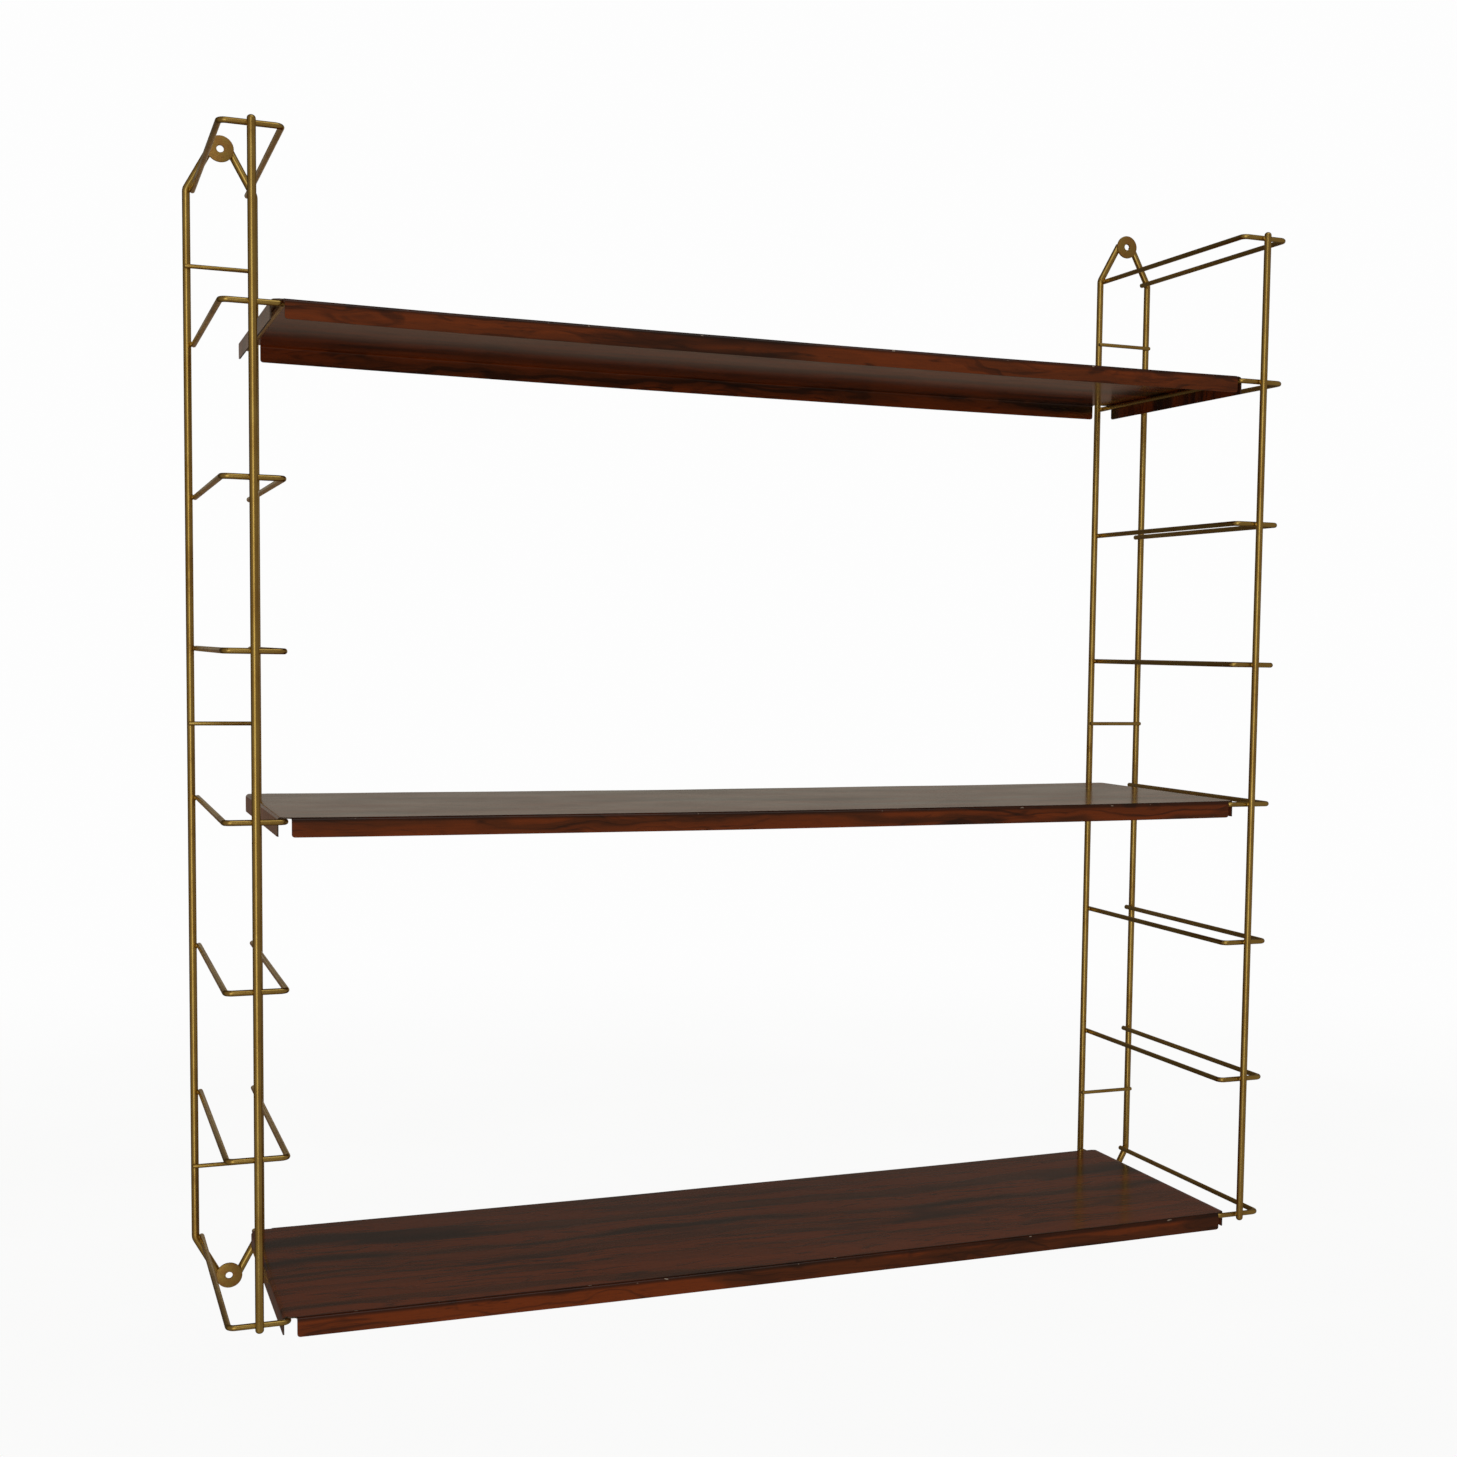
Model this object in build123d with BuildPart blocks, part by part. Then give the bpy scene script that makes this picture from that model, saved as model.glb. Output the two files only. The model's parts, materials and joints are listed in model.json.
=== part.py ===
from build123d import *
import os

# Wall shelf: two welded wire ladders carry three folded sheet-metal shelves.
# Millimetres. +X runs along the shelves, +Y goes into the wall, +Z is up.
# The origin is the centre of the four screw holes, on the back faces of the eye plates.

# Ladders
rung_pitch = 90.0
rung_count = 8
ladder_spacing = 615.0
rung_width = 31.0          # between the axes of a rung's two arms
rung_depth = 178.5         # from a crossbar's axis to the rear uprights' axes
rung_diameter = 3.2
rung_bend = 3.6            # bend radius at the wire's axis
arm_overrun = 2.0          # how far an arm's end passes the rear upright's axis
upright_diameter = 4.5
upright_bend = 6.0         # bend radius at the wire's axis
upright_overrun = 3.3      # how far the front upright stands past the end rungs
upright_dome = 1.9
brace_diameter = 2.5
brace_overrun = 1.5        # how far a brace's end passes the rear upright's axis
weld_bite = 0.2            # depth to which two welded wires sink into each other

# Eye plates
eye_diameter = 15.5
eye_hole = 4.2
eye_thickness = 1.5
eye_rise = 25.0            # from an end rung to the centre of the nearest eye
eye_edge = 0.3
tine_gap = 5.5             # from the eye's centre line to the wire's axis, at the eye's height
tine_overrun = 1.2         # how far the bent-in wire goes on past the eye's height

# Shelves
sheet = 0.8
sheet_bend = 1.6           # bend radius at the sheet's middle
lip_height = 10.5
seat_gap = 0.1             # film between the sheet and the arms it rests on
front_lip_reach = 3.0      # from the crossbar's axis forward to the lip's face
rear_lip_reach = 2.5       # from the rear uprights' axes forward to the lip's face
notch_setback = 3.0        # from a lip's face back to the plate's edge at the corners
front_lip_inset = 17.5     # from a ladder's middle to the front lip's end
rear_lip_inset = 23.5
flange_inset = 10.6        # from a ladder's middle to the end flange's face
front_clip = (4.5, 3.5)    # corner cut off the plate, along X and along Y
rear_clip = (3.0, 3.5)
flange_corner = 1.6        # radius of the flanges' rear lower corners
lip_corner = 1.5           # radius of the lips' lower corners
shelf_rungs = {"top": 2, "middle": 5, "bottom": 8}
shelf_side_play = {"top": -1.5, "middle": 0.6, "bottom": 2.0}

# Derived places
rung_radius = rung_diameter / 2
upright_radius = upright_diameter / 2
brace_radius = brace_diameter / 2
top_rung_z = rung_pitch * (rung_count - 1) / 2
eye_z = top_rung_z + eye_rise
rear_y = upright_radius - weld_bite
crossbar_y = rear_y - rung_depth
front_y = crossbar_y - rung_radius - upright_radius + weld_bite
brace_y = rear_y - upright_radius - brace_radius + weld_bite
rear_x = rung_width / 2 + rung_radius + upright_radius - weld_bite
ladder_x = {"left": -ladder_spacing / 2, "right": ladder_spacing / 2}


def rung_z(number):
    """Height of a rung's axis. Rungs are numbered from 1 at the top."""
    return top_rung_z - rung_pitch * (number - 1)


def save(piece, name):
    """Label a finished piece and write its STEP file."""
    piece.part.label = name
    export_step(piece.part, f"parts/{name}.step")


def bent_wire(points, bend, radius):
    """A round wire along straight runs that are joined by arcs."""
    with BuildPart() as wire:
        with BuildLine() as path:
            FilletPolyline(*points, radius=bend)
        with BuildSketch(Plane(origin=path.line @ 0, z_dir=path.line % 0)):
            Circle(radius)
        sweep()
    return wire


def make_front_upright(side):
    """Straight rod with domed ends, welded to the fronts of the crossbars."""
    with BuildPart() as upright:
        with BuildSketch(Plane.XY.offset(-top_rung_z - upright_overrun)):
            with Locations((ladder_x[side], front_y)):
                Circle(upright_radius)
        extrude(amount=2 * (top_rung_z + upright_overrun))
        fillet(upright.edges().filter_by(GeomType.CIRCLE), radius=upright_dome)
    save(upright, f"{side}_front_upright")


def make_rear_upright(side, hand, sign):
    """Rod that is vertical beside the rungs and bends in to an eye at each end."""
    x = ladder_x[side]
    slope = (rear_x - tine_gap) / eye_rise
    tip_x = x + sign * (tine_gap - slope * tine_overrun)
    tip_z = eye_z + tine_overrun
    points = [
        (tip_x, rear_y, -tip_z),
        (x + sign * rear_x, rear_y, -top_rung_z),
        (x + sign * rear_x, rear_y, top_rung_z),
        (tip_x, rear_y, tip_z),
    ]
    save(bent_wire(points, upright_bend, upright_radius), f"{side}_rear_upright_{hand}")


def make_rung(side, number):
    """U-bent wire: a front crossbar and two arms that end on the rear uprights."""
    x = ladder_x[side]
    z = rung_z(number)
    end_y = rear_y + arm_overrun
    points = [
        (x - rung_width / 2, end_y, z),
        (x - rung_width / 2, crossbar_y, z),
        (x + rung_width / 2, crossbar_y, z),
        (x + rung_width / 2, end_y, z),
    ]
    save(bent_wire(points, rung_bend, rung_radius), f"{side}_rung_{number}")


def make_brace(side, level, z):
    """Thin straight wire across the fronts of the two rear uprights."""
    length = 2 * (rear_x + brace_overrun)
    with BuildPart() as brace:
        with BuildSketch(Plane.YZ.offset(ladder_x[side])):
            with Locations((brace_y, z)):
                Circle(brace_radius)
        extrude(amount=length / 2, both=True)
    save(brace, f"{side}_brace_{level}")


def make_eye(side, level, z):
    """Flat round plate with a screw hole, in front of the bent-in wire ends."""
    with BuildPart() as eye:
        with BuildSketch(Plane.XZ):
            with Locations((ladder_x[side], z)):
                Circle(eye_diameter / 2)
                Circle(eye_hole / 2, mode=Mode.SUBTRACT)
        extrude(amount=eye_thickness)
        rim = eye.edges().filter_by(GeomType.CIRCLE).group_by(SortBy.RADIUS)[-1]
        chamfer(rim, length=eye_edge)
    save(eye, f"{side}_eye_{level}")


def make_shelf(level):
    """Sheet pan: a plate with two lips and two end flanges folded down."""
    number = shelf_rungs[level]
    middle_x = shelf_side_play[level]
    top_z = rung_z(number) + rung_radius + seat_gap + sheet
    mid_z = top_z - sheet / 2
    low_z = top_z - lip_height
    front_face_y = crossbar_y - front_lip_reach
    rear_face_y = rear_y - rear_lip_reach
    front_edge_y = front_face_y + notch_setback
    rear_edge_y = rear_face_y - notch_setback
    half_length = ladder_spacing / 2 - flange_inset
    fold_run = 2 * sheet_bend
    plate_half_length = half_length - fold_run
    lips = [
        (front_face_y, 1, ladder_spacing / 2 - front_lip_inset),
        (rear_face_y, -1, ladder_spacing / 2 - rear_lip_inset),
    ]

    with BuildPart() as pan:
        # Flat plate between the folds
        with BuildSketch(Plane.XY.offset(top_z - sheet)):
            with Locations((middle_x, (front_edge_y + rear_edge_y) / 2)):
                Rectangle(2 * plate_half_length, rear_edge_y - front_edge_y)
        extrude(amount=sheet)

        # Front and rear lips, each a folded strip along X
        for face_y, inward, half_lip in lips:
            with BuildSketch(Plane.YZ.offset(middle_x)):
                with BuildLine() as fold:
                    FilletPolyline(
                        (face_y + inward * (notch_setback + fold_run), mid_z),
                        (face_y + inward * sheet / 2, mid_z),
                        (face_y + inward * sheet / 2, low_z),
                        radius=sheet_bend,
                    )
                trace(line_width=sheet)
            extrude(amount=half_lip, both=True)

        # End flanges, each a folded strip along Y
        for sign in (-1, 1):
            face_x = middle_x + sign * half_length
            with BuildSketch(Plane.XZ.offset(-front_edge_y)):
                with BuildLine() as fold:
                    FilletPolyline(
                        (face_x - sign * 2 * fold_run, mid_z),
                        (face_x - sign * sheet / 2, mid_z),
                        (face_x - sign * sheet / 2, low_z),
                        radius=sheet_bend,
                    )
                trace(line_width=sheet)
            extrude(amount=-(rear_edge_y - front_edge_y))

        # Clipped plate corners, which also set the flanges back from the notches
        for sign in (-1, 1):
            face_x = middle_x + sign * (half_length + 1)
            for edge_y, inward, (clip_x, clip_y) in (
                (front_edge_y, 1, front_clip),
                (rear_edge_y, -1, rear_clip),
            ):
                with BuildSketch(Plane.XY.offset(low_z - 1)):
                    with BuildLine():
                        Polyline(
                            (face_x, edge_y - inward),
                            (face_x - sign * (1 + clip_x), edge_y - inward),
                            (face_x - sign * (1 + clip_x), edge_y),
                            (face_x - sign, edge_y + inward * clip_y),
                            (face_x, edge_y + inward * clip_y),
                            close=True,
                        )
                    make_face()
                extrude(amount=lip_height + 2, mode=Mode.SUBTRACT)

        # Rounded lower corners of the lips
        lip_ends = pan.edges().filter_by(Axis.Y).filter_by(
            lambda e: e.length < 2 * sheet and e.center().Z < low_z + lip_corner
        )
        fillet(lip_ends, radius=lip_corner)

        # Rounded rear lower corners of the flanges, cut from the side
        flange_end_y = rear_edge_y - rear_clip[1]
        with BuildSketch(Plane.YZ.offset(middle_x)):
            with Locations((flange_end_y, low_z)):
                Rectangle(2 * flange_corner, 2 * flange_corner)
            with Locations((flange_end_y - flange_corner, low_z + flange_corner)):
                Circle(flange_corner, mode=Mode.SUBTRACT)
        extrude(amount=half_length + flange_corner, both=True, mode=Mode.SUBTRACT)
    save(pan, f"shelf_{level}")


os.makedirs("parts", exist_ok=True)

for side in ladder_x:
    make_front_upright(side)
    make_rear_upright(side, "left", -1)
    make_rear_upright(side, "right", 1)
    for number in range(1, rung_count + 1):
        make_rung(side, number)
    make_brace(side, "top", rung_z(1) - rung_pitch / 2)
    make_brace(side, "middle", rung_z(4) - rung_pitch / 2)
    make_brace(side, "bottom", rung_z(rung_count) + rung_pitch / 2)
    make_eye(side, "top", eye_z)
    make_eye(side, "bottom", -eye_z)

for level in shelf_rungs:
    make_shelf(level)
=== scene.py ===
import json

import bpy
import numpy as np
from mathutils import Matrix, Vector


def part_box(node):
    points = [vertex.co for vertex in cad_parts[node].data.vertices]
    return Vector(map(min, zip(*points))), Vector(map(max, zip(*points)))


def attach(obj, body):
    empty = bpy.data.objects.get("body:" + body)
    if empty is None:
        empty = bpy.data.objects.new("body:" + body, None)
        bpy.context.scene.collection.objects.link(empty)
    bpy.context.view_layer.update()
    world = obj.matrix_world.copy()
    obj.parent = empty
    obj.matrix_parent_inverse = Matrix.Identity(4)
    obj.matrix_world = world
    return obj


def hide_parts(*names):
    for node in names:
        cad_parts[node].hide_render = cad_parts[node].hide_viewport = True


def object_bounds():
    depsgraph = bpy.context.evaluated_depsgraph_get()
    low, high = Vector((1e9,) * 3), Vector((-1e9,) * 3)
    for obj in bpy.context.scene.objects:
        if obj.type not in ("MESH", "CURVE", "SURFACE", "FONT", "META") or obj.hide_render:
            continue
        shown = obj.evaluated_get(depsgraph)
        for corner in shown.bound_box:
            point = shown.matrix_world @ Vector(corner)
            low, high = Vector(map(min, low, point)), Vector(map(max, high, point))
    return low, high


# Wall shelf: two welded brass wire ladders carry three folded shelves with a rosewood-look film.
# Metres, in the part's frame: +X runs along the shelves, +Y into the wall, +Z up.

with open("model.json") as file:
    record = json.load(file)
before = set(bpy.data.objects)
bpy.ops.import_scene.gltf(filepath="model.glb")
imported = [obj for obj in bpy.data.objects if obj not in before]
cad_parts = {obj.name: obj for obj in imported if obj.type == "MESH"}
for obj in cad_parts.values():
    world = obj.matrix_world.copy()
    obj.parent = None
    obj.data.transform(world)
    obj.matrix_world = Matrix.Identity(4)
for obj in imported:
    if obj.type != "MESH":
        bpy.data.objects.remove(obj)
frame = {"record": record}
cad_low, cad_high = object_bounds()

MM = 0.001

# Ladders
LADDERS = ("left", "right")
HANDS = {"left": -1, "right": 1}
RUNG_COUNT = 8
BRACES = ("top", "middle", "bottom")
EYES = ("top", "bottom")
RUNG_BEND = 3.6 * MM
UPRIGHT_BEND = 6.0 * MM
TINE_GAP = 5.5 * MM            # from an eye's middle to the bent-in wire's axis, at the eye's height
TINE_OVERRUN = 1.2 * MM        # how far the bent-in wire goes on past the eye's height

# Wire skins
WIRE_SIDES = 28
WIRE_SHARP = 40.0              # degrees from which an edge is shaded sharp, likewise below
ARC_POINTS = 10
END_RINGS = 6
UPRIGHT_DOME = (2.0 * MM, 1.9 * MM)    # how far an end narrows, and over what height
CUT_END = (0.55 * MM, 0.45 * MM)

# Eye plates
EYE_TURNS = 72
EYE_SHARP = 30.0
EYE_EDGE = 0.3 * MM
EYE_ROUNDING = 0.3             # share of the edge at which the front edge's extra point stands
HOLE_EDGE = 0.15 * MM

# Weld beads, as half sizes of ellipsoids along X, Y and Z
CROSSBAR_BEAD = (2.3 * MM, 1.0 * MM, 1.7 * MM)
ARM_BEAD = (0.9 * MM, 1.9 * MM, 1.7 * MM)
BRACE_BEAD = (1.7 * MM, 0.8 * MM, 1.5 * MM)
EYE_BEAD = (2.0 * MM, 0.7 * MM, 2.6 * MM)
BEAD_RINGS = 9
BEAD_TURNS = 16

# Shelves
SHEET = 0.8 * MM
SHEET_BEND = 1.6 * MM          # bend radius at the sheet's middle
SHEET_SHARP = 50.0
FRONT_LIP_HALF = 290.0 * MM
REAR_LIP_HALF = 284.0 * MM
NOTCH_SETBACK = 3.0 * MM       # from a lip's face back to the plate's edge at the corners
CLIP_WIDTH = {"front": 4.5 * MM, "rear": 3.0 * MM}
CLIP_DEPTH = 3.5 * MM
FLANGE_CORNER = 1.6 * MM       # radius of a flange's rear lower corner
LIP_CORNER = 1.5 * MM
NOTCH_CORNER = 1.6 * MM
EASING = 20.0 * MM             # width over which the grid eases from a warped edge to straight lines
LIP_EASING = 4.0 * MM
TOUCH = 0.01 * MM              # places closer than this are taken as one

# Grid lines of the unfolded sheet
PLATE_LINES = 25
FOLD_LINES = 8
FOOT_MARKS = np.array([5.5, 3.6, 3.0, 2.3, 1.6, 1.2, 0.8, 0.4, 0.15, 0]) * MM    # above the foot
REAR_LIP_MARKS = np.array([5.0, 2.0, 0.6, 0]) * MM     # before the rear lip's end
FRONT_LIP_MARKS = np.array([2.0, 0.6, 0]) * MM         # before the front lip's end
NOTCH_MARKS = np.array([0.15, 0.5, 1.0, 1.6]) * MM     # past either lip's end
FLANGE_MARK = 2.0 * MM                                 # past the front lip's end
PLATE_EDGE_MARKS = np.array([13.0, 8.0, 4.0, 1.5, 0.5, 0]) * MM    # before the plate's edge

# Unevenness of the shelves
SAG = 0.9 * MM
WAVE = 0.10 * MM
BROAD_WAVE = (23, 31)          # radians per metre along X and along Y
NARROW_WAVE = (57, 44)
NARROW_SHARE = 0.5
END_STIFFNESS = 6              # power by which the waves die out towards the end flanges

# Colours
BRASS_PALE = (0.74, 0.55, 0.16)
BRASS_DEEP = (0.62, 0.42, 0.11)
BRASS_STAIN = (0.36, 0.19, 0.05)
BRASS_FLECK = (0.40, 0.24, 0.07)
PLATE_OLIVE = (0.58, 0.40, 0.10)
PLATE_COPPER = (0.58, 0.33, 0.09)
PLATE_DARK = (0.34, 0.19, 0.06)
WOOD_RED = (0.335, 0.068, 0.010)
WOOD_BROWN = (0.180, 0.045, 0.010)
WOOD_BLACK = (0.010, 0.006, 0.004)
# pale of chipped film at the folds, painted light so the chips also stand as painted glints
CHIP_AND_GLINT_PALE = (0.55, 0.48, 0.40)
EDGE_STEEL = (0.20, 0.16, 0.13)
EDGE_BROWN = (0.05, 0.025, 0.015)

# Rosewood film
SHELF_SEEDS = {"top": 1, "middle": 9, "bottom": 3}
SEED_SHIFT = (3.7, 1.9)        # how far a seed of one moves the pattern along u and v
UNDERSIDE_SHIFT = (0.37, 0.61)
GRAIN_SLANT = 0.03
DRIFT_WIDTH = 0.060
RIPPLE_WIDTH = 0.020
# how far each mark blackens the film; the bend entry is painted shade along the front and rear folds
BLACKENING = {"vein": 0.62, "flame": 0.55, "cloud": 0.80, "fibre": 0.20, "pore": 0.50, "bend": 0.75}
BEND_MIDDLE = 0.9 * MM         # from where a fold begins to the middle of its painted shade and its chips

# Floor
FLOOR_DROP = 0.30
FLOOR_RADIUS = 3.2
FLOOR_FADE = 1.6               # radius up to which the floor is solid
FLOOR_MIDDLE = 0.001           # radius of the innermost ring
FLOOR_TURNS = 64
FLOOR_RINGS = 6
FLOOR_TONES = ((0.945, 0.945, 0.942), (0.965, 0.965, 0.962))

# Room: brightness of its parts, their colours, and where they lie as components of a direction
BACKGROUND = (0.985, 0.985, 0.985)
ROOM_LEVEL = 0.055
ROOM_WARM = (1.0, 0.80, 0.66)
FRONT_LEVEL = 0.14
HAZE = 0.06
SKY_GLOW = 0.26
SKY_TINT = (1.0, 0.92, 0.76)
FLOOR_GLOW = 0.15
FLOOR_TINT = (1.0, 0.66, 0.46)
BEHIND_Y = (0.2, 0.8)
BEHIND_X = (-0.35, -0.05)
FRONT_Y = (0.5, -0.1)
HORIZON_Z = (0.0, 0.03)
LOW_SKY_Z = (0.24, 0.06)
LOW_FLOOR_Z = (-0.45, -0.05)
HAZE_Z = (0.70, 0.20)

# Lamps: place, width, height, radiance and colour
LIGHT_TARGET = (0, -0.1, 0)
LAMPS = {
    "window": ((-0.95, -2.2, 0.1), 0.9, 2.4, 0.62, (1.0, 0.96, 0.86)),
    "room_front": ((-1.2, -2.6, 0.0), 2.2, 2.6, 0.22, (1.0, 0.92, 0.84)),
    "ceiling": ((0.1, -0.9, 1.7), 1.6, 1.2, 0.5, (1.0, 0.97, 0.94)),
}

# Camera
SENSOR_WIDTH = 36.0
FOCAL_LENGTH = 49.495
CAMERA_SHIFT = (-0.1177, 0.0455)
CAMERA_PLACE = (-0.41563, -1.27241, 0.05178)
CAMERA_TURN = (85.8257, -0.9425, -23.4564)     # degrees about X, Y and Z


# ---------------------------------------------------------------- meshes

def span(node):
    """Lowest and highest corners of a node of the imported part."""
    low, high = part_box(node)
    return np.array(low), np.array(high)


def centre(node):
    """Middle of a node's box."""
    low, high = span(node)
    return (low + high) / 2


def grid_faces(rows, columns):
    """Quads between neighbouring points of a grid whose last column joins its first."""
    index = np.arange(rows * columns).reshape(rows, columns)
    index = np.concatenate([index, index[:, :1]], axis=1)
    corners = (index[:-1, :-1], index[1:, :-1], index[1:, 1:], index[:-1, 1:])
    return np.stack(corners, axis=-1).reshape(-1, 4)


def make_piece(name, points, faces, body, nodes, materials, sharp=WIRE_SHARP):
    """A mesh object at the origin that rides on a body and stands for nodes of the part."""
    mesh = bpy.data.meshes.new(name)
    mesh.from_pydata(points.reshape(-1, 3).tolist(), [], faces)
    mesh.shade_smooth()
    mesh.set_sharp_from_angle(angle=np.radians(sharp))
    for material in materials:
        mesh.materials.append(material)
    piece = bpy.data.objects.new(name, mesh)
    bpy.context.scene.collection.objects.link(piece)
    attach(piece, body)
    if nodes:
        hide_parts(*nodes)
    return piece


# ---------------------------------------------------------------- wires

def wire_path(corners, bend):
    """Centre line of a bent wire: straight runs, with an arc tangent to both runs at each corner.

    A point of an arc is start + bend * (sin(a) * forward + (1 - cos(a)) * across)."""
    corners = np.array(corners, float)
    runs = np.diff(corners, axis=0)
    headings = runs / np.linalg.norm(runs, axis=1)[:, None]
    points = [corners[:1]]
    ways = [headings[:1]]
    for corner, forward, onward in zip(corners[1:-1], headings[:-1], headings[1:]):
        turn = np.arccos(forward @ onward)
        across = (onward - np.cos(turn) * forward) / np.sin(turn)
        start = corner - bend * np.tan(turn / 2) * forward
        angle = np.linspace(0, turn, ARC_POINTS)[:, None]
        points.append(start + bend * (np.sin(angle) * forward + (1 - np.cos(angle)) * across))
        ways.append(np.cos(angle) * forward + np.sin(angle) * across)
    points.append(corners[-1:])
    ways.append(headings[-1:])
    return np.concatenate(points), np.concatenate(ways)


def wire_skin(corners, normal, radius, bend=0.0, end=CUT_END):
    """Skin of a round wire that lies in one plane: circles square to its centre line.

    A circle's point is centre + radius * (cos(a) * side + sin(a) * normal). Each end narrows
    over a quarter of an ellipse and is closed by a small flat."""
    points, ways = wire_path(corners, bend)
    narrowing, height = end
    quarter = np.linspace(0, np.pi / 2, END_RINGS)
    reach = (height * (1 - np.cos(quarter)))[:, None]
    end_radius = radius - narrowing * (1 - np.sin(quarter))
    first = points[0] + reach * ways[0]
    last = points[-1] - reach[::-1] * ways[-1]
    centres = np.concatenate([first, points[1:-1], last])
    ends = np.ones((END_RINGS, 1))
    headings = np.concatenate([ends * ways[0], ways[1:-1], ends * ways[-1]])
    radii = np.concatenate([end_radius, np.full(len(points) - 2, radius), end_radius[::-1]])
    normal = np.array(normal, float)
    side = np.cross(headings, normal)[:, None]
    angle = np.linspace(0, 2 * np.pi, WIRE_SIDES, endpoint=False)[None, :, None]
    circle = np.cos(angle) * side + np.sin(angle) * normal
    skin = centres[:, None] + radii[:, None, None] * circle
    faces = grid_faces(len(centres), WIRE_SIDES).tolist()
    total = len(centres) * WIRE_SIDES
    faces.append(list(range(WIRE_SIDES)))
    faces.append(list(range(total - 1, total - 1 - WIRE_SIDES, -1)))
    return skin, faces


def make_front_upright(side, brass):
    """Straight vertical rod with domed ends."""
    node = f"{side}_front_upright"
    low, high = span(node)
    x, y = centre(node)[:2]
    corners = [(x, y, low[2]), (x, y, high[2])]
    radius = (high[0] - low[0]) / 2
    skin, faces = wire_skin(corners, (0, 1, 0), radius, end=UPRIGHT_DOME)
    make_piece(f"{node}_rod", skin, faces, "ladders", [node], [brass])


def make_rung(side, number, brass):
    """U-bent wire: a crossbar in front and two arms that end on the rear uprights."""
    node = f"{side}_rung_{number}"
    low, high = span(node)
    radius = (high[2] - low[2]) / 2
    z = (low[2] + high[2]) / 2
    near = low[1] + radius
    left = low[0] + radius
    right = high[0] - radius
    corners = [(left, high[1], z), (left, near, z), (right, near, z), (right, high[1], z)]
    skin, faces = wire_skin(corners, (0, 0, 1), radius, RUNG_BEND)
    make_piece(f"{node}_wire", skin, faces, "ladders", [node], [brass])


def make_brace(side, level, brass):
    """Thin straight wire across the fronts of the rear uprights."""
    node = f"{side}_brace_{level}"
    low, high = span(node)
    y, z = centre(node)[1:]
    corners = [(low[0], y, z), (high[0], y, z)]
    radius = (high[2] - low[2]) / 2
    skin, faces = wire_skin(corners, (0, 0, 1), radius)
    make_piece(f"{node}_wire", skin, faces, "ladders", [node], [brass])


def make_rear_upright(side, hand, brass):
    """Rod that is vertical beside the rungs and bends in to an eye plate at each end."""
    node = f"{side}_rear_upright_{hand}"
    sign = HANDS[hand]
    low, high = span(node)
    y = (low[1] + high[1]) / 2
    radius = (high[1] - low[1]) / 2
    x = high[0] - radius if sign > 0 else low[0] + radius
    eye = centre(f"{side}_eye_top")
    bend_z = centre(f"{side}_rung_1")[2]
    slope = (abs(x - eye[0]) - TINE_GAP) / (eye[2] - bend_z)
    tip_x = eye[0] + sign * (TINE_GAP - slope * TINE_OVERRUN)
    tip_z = eye[2] + TINE_OVERRUN
    corners = [(tip_x, y, -tip_z), (x, y, -bend_z), (x, y, bend_z), (tip_x, y, tip_z)]
    skin, faces = wire_skin(corners, (0, 1, 0), radius, UPRIGHT_BEND)
    make_piece(f"{node}_wire", skin, faces, "ladders", [node], [brass])


def make_eye(side, level, brass):
    """Round plate with a screw hole: a closed outline turned about the hole's axis.

    A point is (middle + r * cos(a), depth, middle + r * sin(a)) for each (r, depth) of it."""
    node = f"{side}_eye_{level}"
    low, high = span(node)
    middle = centre(node)
    outer = (high[0] - low[0]) / 2
    hole = frame["record"]["mounts"][0]["dims"]["hole_r_mm"] * MM
    back = high[1]
    front = low[1]
    outline = np.array([
        (hole, back),
        (outer - EYE_EDGE, back),
        (outer, back - EYE_EDGE),
        (outer, front + EYE_EDGE),
        (outer - EYE_ROUNDING * EYE_EDGE, front + EYE_ROUNDING * EYE_EDGE),
        (outer - EYE_EDGE, front),
        (hole + HOLE_EDGE, front),
        (hole, front + HOLE_EDGE),
    ])
    angle = np.linspace(0, 2 * np.pi, EYE_TURNS, endpoint=False)[:, None]
    radius = outline[None, :, 0]
    depth = np.broadcast_to(outline[None, :, 1], (EYE_TURNS, len(outline)))
    across = middle[0] + radius * np.cos(angle)
    upward = middle[2] + radius * np.sin(angle)
    skin = np.stack([across, depth, upward], axis=-1)
    faces = grid_faces(EYE_TURNS + 1, len(outline)) % (EYE_TURNS * len(outline))
    make_piece(f"{node}_plate", skin, faces.tolist(), "ladders", [node],
               [brass], EYE_SHARP)


def bead_skins(centres, half_sizes):
    """Ellipsoids, each with the point centre + half size * (sin(p)cos(a), sin(p)sin(a), cos(p))."""
    polar = np.linspace(0, np.pi, BEAD_RINGS)[1:-1, None]
    angle = np.linspace(0, 2 * np.pi, BEAD_TURNS, endpoint=False)[None]
    level = np.broadcast_to(np.cos(polar), (BEAD_RINGS - 2, BEAD_TURNS))
    ring = np.stack([np.sin(polar) * np.cos(angle), np.sin(polar) * np.sin(angle), level], axis=-1)
    unit = np.concatenate([ring.reshape(-1, 3), [(0, 0, 1), (0, 0, -1)]])
    skins = centres[:, None] + half_sizes[:, None] * unit
    first = np.arange(BEAD_TURNS)
    following = np.roll(first, -1)
    count = len(ring) * BEAD_TURNS
    top = np.stack([np.full(BEAD_TURNS, count), first, following], axis=-1)
    base = count - BEAD_TURNS
    low = np.stack([np.full(BEAD_TURNS, count + 1), base + following, base + first], axis=-1)
    quads = grid_faces(len(ring), BEAD_TURNS)
    faces = []
    for start in range(0, len(centres) * len(unit), len(unit)):
        faces += (quads + start).tolist() + (top + start).tolist() + (low + start).tolist()
    return skins, faces


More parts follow.
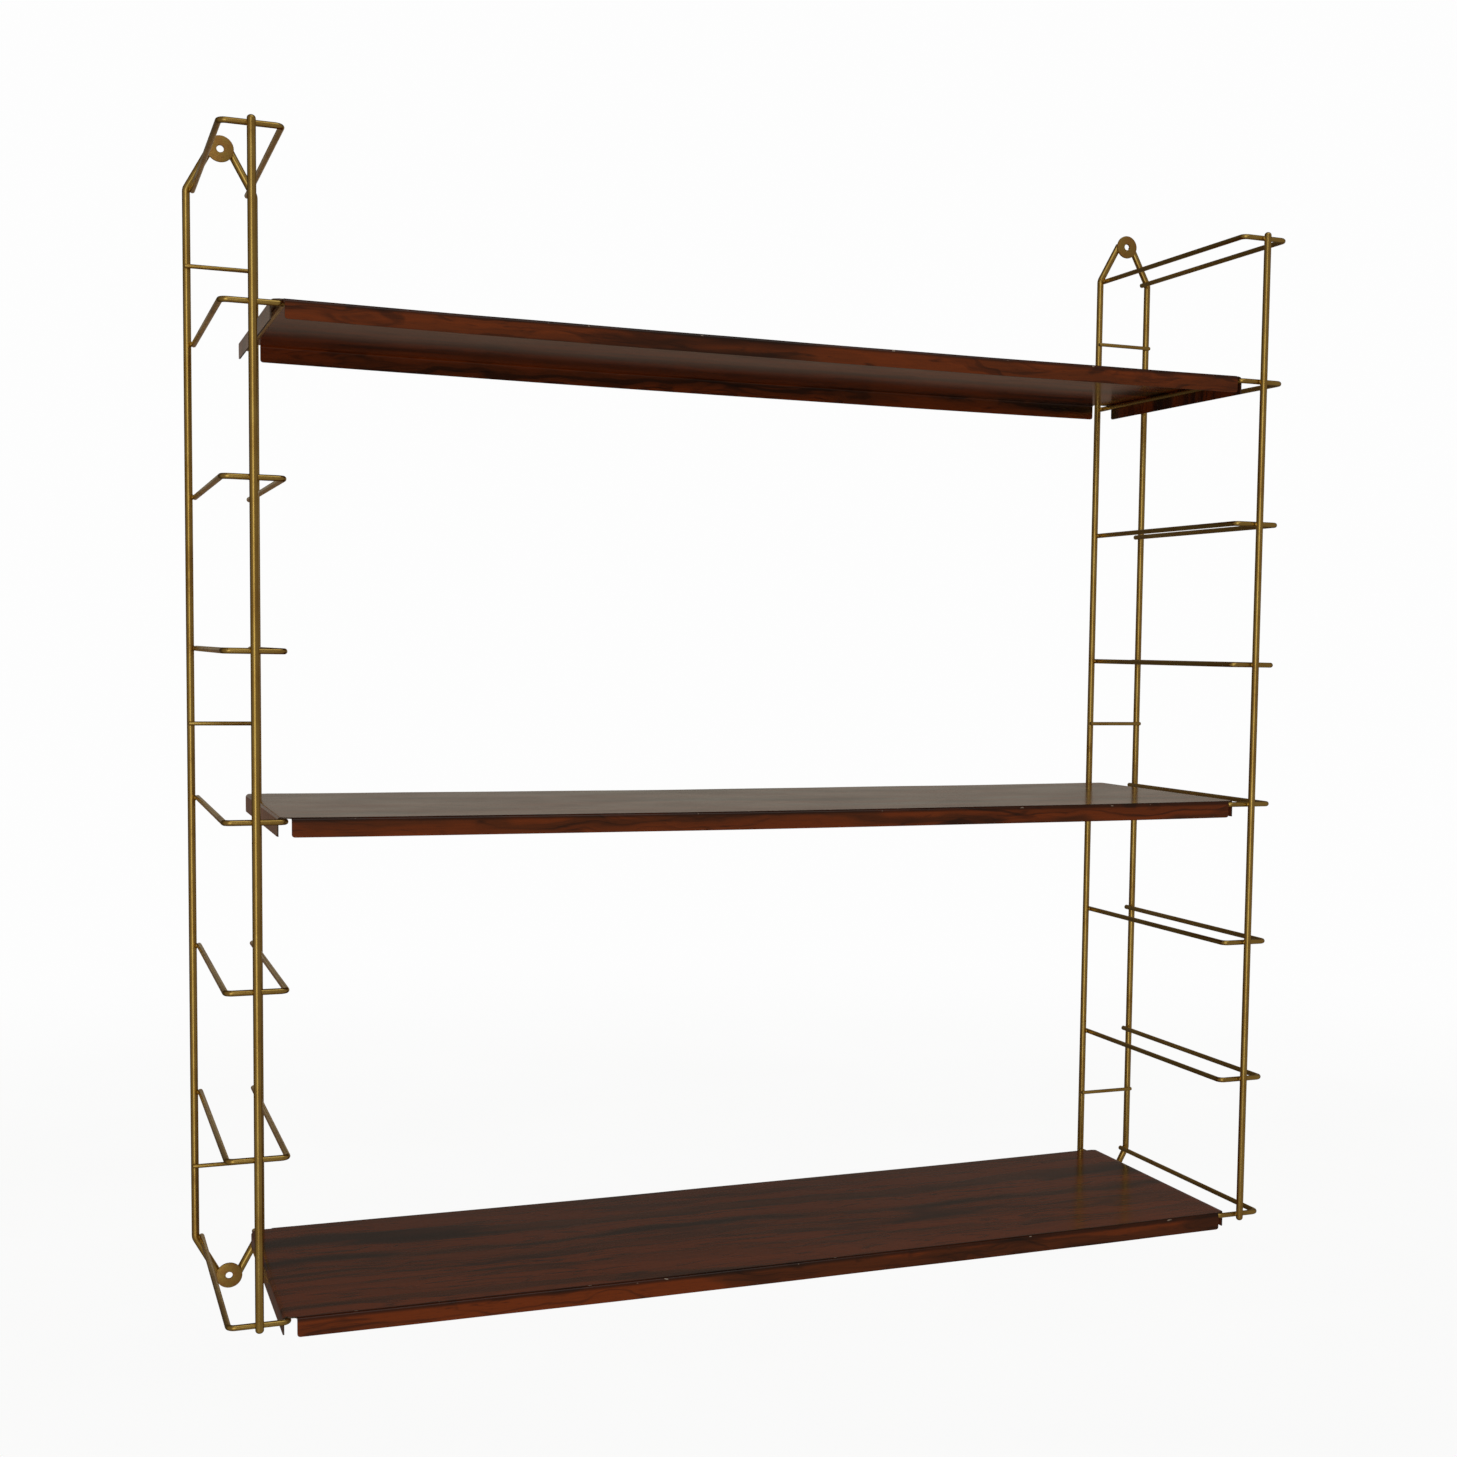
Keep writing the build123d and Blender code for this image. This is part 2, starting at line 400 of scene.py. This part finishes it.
def make_welds(side, brass):
    """Beads of metal squeezed out where the wires of one ladder are welded."""
    x = centre(f"{side}_front_upright")[0]
    rear_low, rear_high = span(f"{side}_rear_upright_right")
    rear_y = (rear_low[1] + rear_high[1]) / 2
    rear_radius = (rear_high[1] - rear_low[1]) / 2
    rear_reach = rear_high[0] - rear_radius - x
    beads = []
    for number in range(1, RUNG_COUNT + 1):
        low, high = span(f"{side}_rung_{number}")
        z = (low[2] + high[2]) / 2
        beads.append(((x, low[1], z), CROSSBAR_BEAD))
        beads += [((edge, rear_y, z), ARM_BEAD) for edge in (low[0], high[0])]
    for level in BRACES:
        low, high = span(f"{side}_brace_{level}")
        z = (low[2] + high[2]) / 2
        beads += [((x + sign * rear_reach, high[1], z), BRACE_BEAD) for sign in (-1, 1)]
    for level in EYES:
        low, high = span(f"{side}_eye_{level}")
        z = (low[2] + high[2]) / 2
        beads += [((x + sign * TINE_GAP, high[1], z), EYE_BEAD) for sign in (-1, 1)]
    centres = np.array([place for place, size in beads])
    half_sizes = np.array([size for place, size in beads])
    skins, faces = bead_skins(centres, half_sizes)
    make_piece(f"{side}_welds", skins, faces, "ladders", [], [brass])


# ---------------------------------------------------------------- shelves

def fold_starts(low, high):
    """Distances from a shelf's middle, along X and along Y, at which its folds begin."""
    return (high[:2] - low[:2]) / 2 - SHEET / 2 - SHEET_BEND


def folded(distance):
    """How far along and how far down the sheet's middle is, and how far it has turned.

    Before the fold it is level, over the fold it follows a quarter circle, then it hangs."""
    angle = np.clip(distance / SHEET_BEND, 0, np.pi / 2)
    along = np.where(distance < 0, distance, SHEET_BEND * np.sin(angle))
    hanging = np.clip(distance - SHEET_BEND * np.pi / 2, 0, None)
    return along, SHEET_BEND * (1 - np.cos(angle)) + hanging, angle


def corner_cut(height, radius):
    """How far a rounded corner stands back from a square one, at a height above its foot."""
    missing = np.clip(radius - height, 0, radius)
    return radius - np.sqrt(radius ** 2 - missing ** 2)


def grid_lines(fold_start, length, marks):
    """Grid lines across the whole sheet in one direction, the same on both sides of its middle.

    From the middle they run over the plate, the marks, the fold and the part that hangs."""
    plate = np.linspace(0, marks[0], PLATE_LINES)
    fold = fold_start + np.linspace(0, SHEET_BEND * np.pi / 2, FOLD_LINES)
    foot = fold_start + length - FOOT_MARKS
    half = np.concatenate([plate, marks[1:], fold, foot])
    return np.concatenate([-half[:0:-1], half])


def metal_cells(line_u, line_v, edge_v):
    """Which cells of the grid are metal: the plate with its flanges, and the two lips."""
    cell_u = np.abs(line_u[:-1] + line_u[1:])[:, None] / 2
    cell_v = (line_v[:-1] + line_v[1:])[None] / 2
    front_lip = (cell_v < -edge_v) & (cell_u < FRONT_LIP_HALF)
    rear_lip = (cell_v > edge_v) & (cell_u < REAR_LIP_HALF)
    return front_lip | rear_lip | (np.abs(cell_v) < edge_v)


def shape_plate_edge(u, v, fold_u, length, edge_v):
    """Moves v at the plate's front and rear edges, for their slanted and rounded corners.

    The edge stands back by the slant of the clipped corner and the flange's rounded rear foot,
    and forward by the notch's rounded root. The move eases to nothing over EASING inwards."""
    half_length = fold_u + SHEET_BEND + SHEET / 2
    beyond = v > 0
    reach = fold_u + folded(np.abs(u) - fold_u)[0]
    width = np.where(beyond, CLIP_WIDTH["rear"], CLIP_WIDTH["front"])
    slant = np.clip(reach - half_length + width, 0, None) / width * CLIP_DEPTH
    foot = fold_u + length - np.abs(u)
    flange_foot = np.where(beyond, corner_cut(foot, FLANGE_CORNER), 0)
    past_lip = np.abs(u) - np.where(beyond, REAR_LIP_HALF, FRONT_LIP_HALF)
    root = np.where(past_lip > -TOUCH, corner_cut(past_lip, NOTCH_CORNER), 0)
    inner = np.abs(v) <= edge_v + TOUCH
    ease = np.clip(1 - (edge_v - np.abs(v)) / EASING, 0, 1) * inner
    return v - np.sign(v) * (slant + flange_foot - root) * ease


def shape_lip_ends(u, v, fold_v, length, edge_v):
    """Moves u at the lips' ends, for their rounded lower corners, easing over LIP_EASING."""
    inner = np.abs(v) <= edge_v + TOUCH
    past_lip = np.abs(u) - np.where(v > 0, REAR_LIP_HALF, FRONT_LIP_HALF)
    foot = fold_v + length - np.abs(v)
    ease = np.clip(1 + past_lip / LIP_EASING, 0, 1) * (past_lip < TOUCH)
    return u - np.sign(u) * corner_cut(foot, LIP_CORNER) * ease * ~inner


def shelf_grid(low, high):
    """Unfolded sheet of a shelf: places u and v of its grid points, and which cells are metal.

    The outline is a cross: a plate with lips at front and rear and flanges at both ends. The
    grid's lines follow its slanted and rounded corners, easing back to straight lines inside."""
    fold_u, fold_v = fold_starts(low, high)
    half_length, half_depth = (high[:2] - low[:2]) / 2
    drop = high[2] - low[2] - SHEET / 2 - SHEET_BEND
    length = SHEET_BEND * np.pi / 2 + drop
    edge_v = half_depth - NOTCH_SETBACK
    marks_u = np.concatenate([
        REAR_LIP_HALF - REAR_LIP_MARKS,
        REAR_LIP_HALF + NOTCH_MARKS,
        FRONT_LIP_HALF - FRONT_LIP_MARKS,
        FRONT_LIP_HALF + NOTCH_MARKS,
        [FRONT_LIP_HALF + FLANGE_MARK, half_length - CLIP_WIDTH["front"]],
    ])
    marks_v = np.concatenate([[edge_v - EASING], edge_v - PLATE_EDGE_MARKS])
    line_u = grid_lines(fold_u, length, marks_u)
    line_v = grid_lines(fold_v, length, marks_v)
    square_u, square_v = np.meshgrid(line_u, line_v, indexing="ij")
    v = shape_plate_edge(square_u, square_v, fold_u, length, edge_v)
    u = shape_lip_ends(square_u, square_v, fold_v, length, edge_v)
    return u, v, metal_cells(line_u, line_v, edge_v)


def shelf_skins(u, v, low, high, seed):
    """Upper and lower face of a folded sheet, from the places u and v on the unfolded one.

    x = fold start + along(distance past it), likewise y, and both folds lower z. The plate sags
    by a parabola between the ladders and is faintly uneven, as a sum of two waves."""
    middle = (low + high) / 2
    fold_u, fold_v = fold_starts(low, high)
    along_u, drop_u, turn_u = folded(np.abs(u) - fold_u)
    along_v, drop_v, turn_v = folded(np.abs(v) - fold_v)
    x = middle[0] + np.sign(u) * (fold_u + along_u)
    y = middle[1] + np.sign(v) * (fold_v + along_v)
    phase = np.random.default_rng(seed).uniform(0, 2 * np.pi, 4)
    sag = SAG * (1 - np.clip((x - middle[0]) / fold_u, -1, 1) ** 2)
    broad = np.sin(x * BROAD_WAVE[0] + phase[0]) * np.sin(y * BROAD_WAVE[1] + phase[1])
    narrow = np.sin(x * NARROW_WAVE[0] + phase[2]) * np.sin(y * NARROW_WAVE[1] + phase[3])
    settle = np.clip(1 - ((x - middle[0]) / fold_u) ** END_STIFFNESS, 0, 1)
    uneven = WAVE * (broad + NARROW_SHARE * narrow - 1) * settle
    z = high[2] - SHEET / 2 - drop_u - drop_v - sag + uneven
    sheet_middle = np.stack([x, y, z], axis=-1)
    normal = np.stack([
        np.sign(u) * np.sin(turn_u),
        np.sign(v) * np.sin(turn_v),
        np.cos(turn_u) * np.cos(turn_v),
    ], axis=-1)
    return sheet_middle + normal * SHEET / 2, sheet_middle - normal * SHEET / 2


def shelf_faces(metal):
    """Quads of a sheet's upper face, its lower face and its cut edge, and how many are edge.

    The edge has a wall under each side of a metal cell whose neighbour isn't metal."""
    rows, columns = metal.shape
    count = (rows + 1) * (columns + 1)
    index = np.arange(count).reshape(rows + 1, columns + 1)
    corners = np.stack([index[:-1, :-1], index[1:, :-1], index[1:, 1:], index[:-1, 1:]], axis=-1)
    upper = corners[metal]
    lower = upper[:, ::-1] + count
    padded = np.pad(metal, 1)
    around = (padded[1:-1, :-2], padded[2:, 1:-1], padded[1:-1, 2:], padded[:-2, 1:-1])
    walls = []
    for k, neighbour in enumerate(around):
        start, end = corners[metal & ~neighbour][:, [k, (k + 1) % 4]].T
        walls.append(np.stack([start, start + count, end + count, end], axis=-1))
    edge = np.concatenate(walls)
    return np.concatenate([upper, lower, edge]), len(edge)


def make_shelf(level, seed, film, cut):
    """Folded sheet pan with film on both faces and bare metal at its cut edge.

    Its UV map is the place on the unfolded sheet, in metres, shifted for the lower face."""
    node = f"shelf_{level}"
    low, high = span(node)
    u, v, metal = shelf_grid(low, high)
    upper, lower = shelf_skins(u, v, low, high, seed)
    faces, edge_count = shelf_faces(metal)
    used, faces = np.unique(faces, return_inverse=True)
    faces = faces.reshape(-1, 4)
    points = np.concatenate([upper.reshape(-1, 3), lower.reshape(-1, 3)])[used]
    flat = np.stack([u, v], axis=-1).reshape(-1, 2)
    flat = np.concatenate([flat, flat + UNDERSIDE_SHIFT])[used]
    piece = make_piece(f"{node}_sheet", points, faces.tolist(), f"{level}_shelf", [node],
                       [film, cut], SHEET_SHARP)
    mesh = piece.data
    layer = mesh.uv_layers.new(name="sheet")
    layer.data.foreach_set("uv", flat[faces.ravel()].ravel())
    kinds = np.zeros(len(faces), np.int32)
    kinds[-edge_count:] = 1
    mesh.polygons.foreach_set("material_index", kinds)


# ---------------------------------------------------------------- shader graphs

class Socket:
    """A node's output that can be used in sums, differences and products."""

    def __init__(self, graph, link):
        self.graph = graph
        self.link = link

    def maths(self, operation, *values):
        inputs = dict(enumerate(values))
        return self.graph.node("ShaderNodeMath", {"operation": operation}, inputs)

    def __add__(self, other):
        return self.maths("ADD", self, other)

    def __mul__(self, other):
        return self.maths("MULTIPLY", self, other)

    def __sub__(self, other):
        return self.maths("SUBTRACT", self, other)

    def __rsub__(self, other):
        return self.maths("SUBTRACT", other, self)

    def __abs__(self):
        return self.maths("ABSOLUTE", self)

    __radd__ = __add__
    __rmul__ = __mul__


class Graph:
    """The nodes of one material or world."""

    def __init__(self, owner):
        owner.use_nodes = True
        self.tree = owner.node_tree
        self.tree.nodes.clear()

    def pick(self, sockets, key):
        """The socket with a number, or the first one in use with a name, or with any for None."""
        if isinstance(key, int):
            return sockets[key]
        return next(s for s in sockets if s.enabled and key in (None, s.name))

    def node(self, kind, settings=None, inputs=None, output=None):
        """Adds a node: its settings first, then its sockets' values or links. Gives one output."""
        made = self.tree.nodes.new(kind)
        for name, value in (settings or {}).items():
            setattr(made, name, value)
        for key, value in (inputs or {}).items():
            socket = self.pick(made.inputs, key)
            if isinstance(value, Socket):
                self.tree.links.new(value.link, socket)
            elif socket.type == "RGBA":
                socket.default_value = (*value, 1.0)
            else:
                socket.default_value = value
        if not made.outputs:
            return None
        return Socket(self, self.pick(made.outputs, output))

    def coordinates(self, kind):
        return self.node("ShaderNodeTexCoord", output=kind)

    def stretch(self, vector, scale, shift=(0, 0, 0)):
        inputs = {0: vector, 1: scale, 2: shift}
        return self.node("ShaderNodeVectorMath", {"operation": "MULTIPLY_ADD"}, inputs)

    def part(self, vector, axis):
        return self.node("ShaderNodeSeparateXYZ", None, {0: vector}, axis)

    def noise(self, vector, scale=1.0, detail=2.0, roughness=0.5, swirl=0.0):
        inputs = {"Vector": vector, "Scale": scale, "Detail": detail, "Roughness": roughness,
                  "Distortion": swirl}
        return self.node("ShaderNodeTexNoise", None, inputs)

    def noise_along(self, value, detail=2.0, roughness=0.5):
        """Noise that changes along one number only."""
        inputs = {"W": value, "Scale": 1.0, "Detail": detail, "Roughness": roughness}
        return self.node("ShaderNodeTexNoise", {"noise_dimensions": "1D"}, inputs)

    def step(self, value, low, high):
        """A smooth step from 0 at low to 1 at high, where high may be the smaller of the two."""
        rising = low < high
        inputs = {"Value": value, "From Min": min(low, high), "From Max": max(low, high),
                  "To Min": 0.0 if rising else 1.0, "To Max": 1.0 if rising else 0.0}
        return self.node("ShaderNodeMapRange", {"interpolation_type": "SMOOTHSTEP"}, inputs)

    def blend(self, factor, first, second):
        """The first colour where the factor is 0 and the second where it is 1."""
        inputs = {0: factor, "A": first, "B": second}
        return self.node("ShaderNodeMix", {"data_type": "RGBA"}, inputs)

    def bump(self, height, distance, strength):
        inputs = {"Height": height, "Distance": distance, "Strength": strength}
        return self.node("ShaderNodeBump", None, inputs)

    def coat(self, sockets):
        """A principled shader with these values and links, as the material's surface."""
        self.surface(self.node("ShaderNodeBsdfPrincipled", None, sockets))

    def surface(self, shader, target="ShaderNodeOutputMaterial"):
        self.node(target, None, {"Surface": shader})


# ---------------------------------------------------------------- materials

def wire_brass(name):
    """Brass-plated wire: satin, drifting between paler and deeper gold, with faint brown stains.

    A fine grain breaks its highlights into short glints."""
    material = bpy.data.materials.new(name)
    graph = Graph(material)
    place = graph.coordinates("Object")
    patch = graph.noise(place, scale=38.0, detail=3.0, roughness=0.6)
    freckle = graph.noise(place, scale=520.0, detail=2.0, roughness=0.6)
    grain = graph.noise(graph.stretch(place, (900.0, 900.0, 500.0)), detail=1.5)
    stain = graph.step(patch + 0.2 * (freckle - 0.5), 0.54, 0.78)
    fleck = graph.step(freckle, 0.62, 0.74)
    colour = graph.blend(graph.step(patch, 0.3, 0.7), BRASS_PALE, BRASS_DEEP)
    colour = graph.blend(stain * 0.45, colour, BRASS_STAIN)
    colour = graph.blend(fleck * 0.25, colour, BRASS_FLECK)
    graph.coat({
        "Base Color": colour,
        "Metallic": 1.0 - 0.15 * stain,
        "Roughness": 0.26 + 0.08 * stain + 0.22 * (grain - 0.5) + 0.05 * fleck,
        "Normal": graph.bump(grain, distance=0.02 * MM, strength=0.15),
    })
    return material


def eye_brass(name):
    """Stamped brass plate, dull and mottled with coppery patches and dark freckles."""
    material = bpy.data.materials.new(name)
    graph = Graph(material)
    place = graph.coordinates("Object")
    cloud = graph.noise(place, scale=240.0, detail=3.0, roughness=0.6)
    freckle = graph.noise(place, scale=900.0, detail=2.0, roughness=0.6)
    grain = graph.noise(place, scale=2600.0, detail=2.0)
    colour = graph.blend(graph.step(cloud, 0.35, 0.65), PLATE_OLIVE, PLATE_COPPER)
    colour = graph.blend(graph.step(freckle, 0.55, 0.75) * 0.5, colour, PLATE_DARK)
    graph.coat({
        "Base Color": colour,
        "Metallic": 0.75,
        "Roughness": 0.46 + 0.2 * (cloud - 0.5) + 0.15 * (freckle - 0.5),
        "Normal": graph.bump(grain + 0.5 * freckle, distance=0.05 * MM, strength=0.5),
    })
    return material


def rosewood_film(name, seed, fold_v):
    """Rosewood-look film: reddish brown with black veins, broad dark clouds and fine pores.

    The grain runs along u of the unfolded sheet. Rings are numbers made from v, shifted by slow
    noise, so that veins wander together and close into flames where the drift turns back. The
    film is darkened along the front and rear folds as painted shade, and a few pale spots there
    are chipped film, painted pale so that they also stand as painted glints."""
    material = bpy.data.materials.new(name)
    graph = Graph(material)
    own = graph.coordinates("UV")
    sheet = graph.stretch(own, (1, 1, 1), (seed * SEED_SHIFT[0], seed * SEED_SHIFT[1], 0))

    def figure(along, across, detail, roughness=0.5, swirl=0.0):
        """Noise at a scale per metre along the grain and another across it."""
        return graph.noise(graph.stretch(sheet, (along, across, 1)), 1.0, detail, roughness, swirl)

    drift = figure(3.4, 9.0, detail=1.5)
    ripple = figure(22.0, 62.0, detail=2.0)
    slant = graph.part(sheet, "X") * GRAIN_SLANT
    ring = graph.part(sheet, "Y") + slant
    ring = ring + DRIFT_WIDTH * (drift - 0.5) + RIPPLE_WIDTH * (ripple - 0.5)
    band = graph.noise_along(ring * 48.0)
    vein = graph.noise_along(ring * 170.0 + 31.0, detail=3.0, roughness=0.6)
    cloud = figure(4.0, 26.0, detail=3.0, roughness=0.6)
    flame = figure(20.0, 95.0, detail=2.5, roughness=0.6, swirl=1.8)
    fade = figure(9.0, 60.0, detail=2.0)
    fibre = figure(48.0, 900.0, detail=2.0, roughness=0.6)
    pores = graph.step(figure(110.0, 2400.0, detail=1.0), 0.66, 0.74)
    off_bend = abs(abs(graph.part(own, "Y")) - (fold_v + BEND_MIDDLE))

    dark = {
        "vein": graph.step(vein + 0.7 * (fade - 0.5) + 0.3 * (band - 0.5), 0.54, 0.76),
        "flame": graph.step(flame, 0.53, 0.70),
        "cloud": graph.step(cloud + 0.25 * (band - 0.5), 0.52, 0.66),
        "fibre": graph.step(fibre, 0.40, 0.80),
        "pore": pores,
        # bend: painted shade, a dark band along the front and rear folds
        "bend": graph.step(off_bend, 2.7 * MM, 0.9 * MM),
    }
    colour = graph.blend(graph.step(band, 0.38, 0.66), WOOD_RED, WOOD_BROWN)
    for feature, mask in dark.items():
        colour = graph.blend(mask * BLACKENING[feature], colour, WOOD_BLACK)
    # chipped film near the folds, painted pale so that the chips also stand as painted glints
    chip_and_glint = graph.step(figure(160.0, 420.0, detail=1.0), 0.715, 0.735)
    colour = graph.blend(chip_and_glint * graph.step(off_bend, 1.2 * MM, 0.8 * MM), colour, CHIP_AND_GLINT_PALE)

    smear = figure(16.0, 28.0, detail=3.0)
    height = pores * -0.5 + fibre * 0.35 + graph.noise(sheet, scale=2200.0, detail=1.0) * 0.3
    graph.coat({
        "Base Color": colour,
        "Roughness": 0.19 + 0.10 * (smear - 0.5) + 0.06 * pores + 0.05 * (fibre - 0.5),
        "IOR": 1.48,
        "Normal": graph.bump(height, distance=0.02 * MM, strength=0.4),
    })
    return material


def cut_steel(name):
    """Sheared edge of the sheet: dull grey-brown steel, stained darker in patches, finely torn."""
    material = bpy.data.materials.new(name)
    graph = Graph(material)
    place = graph.coordinates("Object")
    tear = graph.noise(place, scale=1800.0, detail=2.0, roughness=0.6)
    patch = graph.noise(place, scale=160.0, detail=2.0)
    graph.coat({
        "Base Color": graph.blend(graph.step(tear + 0.5 * (patch - 0.5), 0.4, 0.7),
                                  EDGE_STEEL, EDGE_BROWN),
        "Metallic": 0.5,
        "Roughness": 0.5 + 0.3 * (tear - 0.5),
        "Normal": graph.bump(tear, distance=0.05 * MM, strength=0.6),
    })
    return material


# ---------------------------------------------------------------- object

def make_ladder(side, wire, plate):
    """One welded wire ladder."""
    make_front_upright(side, wire)
    for hand in HANDS:
        make_rear_upright(side, hand, wire)
    for number in range(1, RUNG_COUNT + 1):
        make_rung(side, number, wire)
    for level in BRACES:
        make_brace(side, level, wire)
    for level in EYES:
        make_eye(side, level, plate)
    make_welds(side, wire)


def make_shelves(cut):
    """The three shelves, each with a film of its own pattern."""
    for level, seed in SHELF_SEEDS.items():
        fold_v = fold_starts(*span(f"shelf_{level}"))[1]
        film = rosewood_film(f"rosewood_film_{level}", seed, fold_v)
        make_shelf(level, seed, film, cut)


# ---------------------------------------------------------------- stage

def floor_material():
    """Near-white floor that fades into the background towards its rim. Only the camera sees it."""
    material = bpy.data.materials.new("floor_pale")
    graph = Graph(material)
    place = graph.coordinates("Object")
    flat = graph.stretch(place, (1, 1, 0))
    distance = graph.node("ShaderNodeVectorMath", {"operation": "LENGTH"}, {0: flat}, "Value")
    tone = graph.blend(graph.noise(place, scale=3.0, detail=3.0), *FLOOR_TONES)
    pale = graph.node("ShaderNodeEmission", None, {"Color": tone, "Strength": 1.0})
    clear = graph.node("ShaderNodeBsdfTransparent")
    seen = graph.node("ShaderNodeLightPath", output="Is Camera Ray")
    solid = seen * graph.step(distance, FLOOR_RADIUS, FLOOR_FADE)
    graph.surface(graph.node("ShaderNodeMixShader", None, {0: solid, 1: clear, 2: pale}))
    return material


def make_floor():
    """A disc of rings around its middle, below the shelf."""
    angle = np.linspace(0, 2 * np.pi, FLOOR_TURNS, endpoint=False)[None]
    radius = np.linspace(FLOOR_MIDDLE, FLOOR_RADIUS, FLOOR_RINGS)[:, None]
    level = np.full((FLOOR_RINGS, FLOOR_TURNS), cad_low[2] - FLOOR_DROP)
    points = np.stack([radius * np.cos(angle), radius * np.sin(angle), level], axis=-1)
    faces = grid_faces(FLOOR_RINGS, FLOOR_TURNS).tolist() + [list(range(FLOOR_TURNS))]
    mesh = bpy.data.meshes.new("floor")
    mesh.from_pydata(points.reshape(-1, 3).tolist(), [], faces)
    mesh.materials.append(floor_material())
    floor = bpy.data.objects.new("floor", mesh)
    bpy.context.scene.collection.objects.link(floor)


def make_world():
    """White to the camera. To the object it is a dim warm room, a little lighter in front, with
    a low band of sky and a floor behind the shelf that its level faces mirror."""
    world = bpy.data.worlds.new("studio")
    bpy.context.scene.world = world
    graph = Graph(world)
    way = graph.coordinates("Generated")
    x, y, z = (graph.part(way, axis) for axis in "XYZ")
    behind = graph.step(y, *BEHIND_Y) * graph.step(x, *BEHIND_X)
    above = graph.step(z, *HORIZON_Z)
    low_sky = behind * above * graph.step(z, *LOW_SKY_Z)
    low_floor = behind * (1 - above) * graph.step(z, *LOW_FLOOR_Z)
    haze = behind * above * graph.step(z, *HAZE_Z)
    front = graph.step(y, *FRONT_Y)
    colour = graph.blend(low_sky, ROOM_WARM, SKY_TINT)
    colour = graph.blend(low_floor, colour, FLOOR_TINT)
    level = ROOM_LEVEL + FRONT_LEVEL * front + HAZE * haze
    level = level + SKY_GLOW * low_sky + FLOOR_GLOW * low_floor
    room = graph.node("ShaderNodeBackground", None, {"Color": colour, "Strength": level})
    white = graph.node("ShaderNodeBackground", None, {"Color": BACKGROUND, "Strength": 1.0})
    seen = graph.node("ShaderNodeLightPath", output="Is Camera Ray")
    shown = graph.node("ShaderNodeMixShader", None, {0: seen, 1: room, 2: white})
    graph.surface(shown, "ShaderNodeOutputWorld")


def make_lamp(name, place, width, height, radiance, colour):
    """A rectangular lamp whose face has a given radiance, aimed at LIGHT_TARGET."""
    lamp = bpy.data.lights.new(name, "AREA")
    lamp.shape = "RECTANGLE"
    lamp.size = width
    lamp.size_y = height
    lamp.energy = radiance * np.pi * width * height
    lamp.color = colour
    holder = bpy.data.objects.new(name, lamp)
    holder.location = place
    aim = np.array(LIGHT_TARGET) - np.array(place)
    tilt = np.arctan2(np.hypot(aim[0], aim[1]), -aim[2])
    turn = np.arctan2(-aim[0], aim[1])
    holder.rotation_euler = (tilt, 0, turn)
    bpy.context.scene.collection.objects.link(holder)


def make_camera():
    """Left of the shelf and in front of it, a little above its middle."""
    lens = bpy.data.cameras.new("camera")
    lens.sensor_width = SENSOR_WIDTH
    lens.lens = FOCAL_LENGTH
    lens.shift_x, lens.shift_y = CAMERA_SHIFT
    camera = bpy.data.objects.new("camera", lens)
    camera.location = CAMERA_PLACE
    camera.rotation_euler = np.radians(CAMERA_TURN)
    bpy.context.scene.collection.objects.link(camera)
    bpy.context.scene.camera = camera


wire = wire_brass("wire_brass")
plate = eye_brass("eye_plate_brass")
for side in LADDERS:
    make_ladder(side, wire, plate)
make_shelves(cut_steel("cut_edge"))
make_floor()
make_world()
for name, values in LAMPS.items():
    make_lamp(name, *values)
make_camera()
bpy.context.scene.view_settings.view_transform = "Standard"
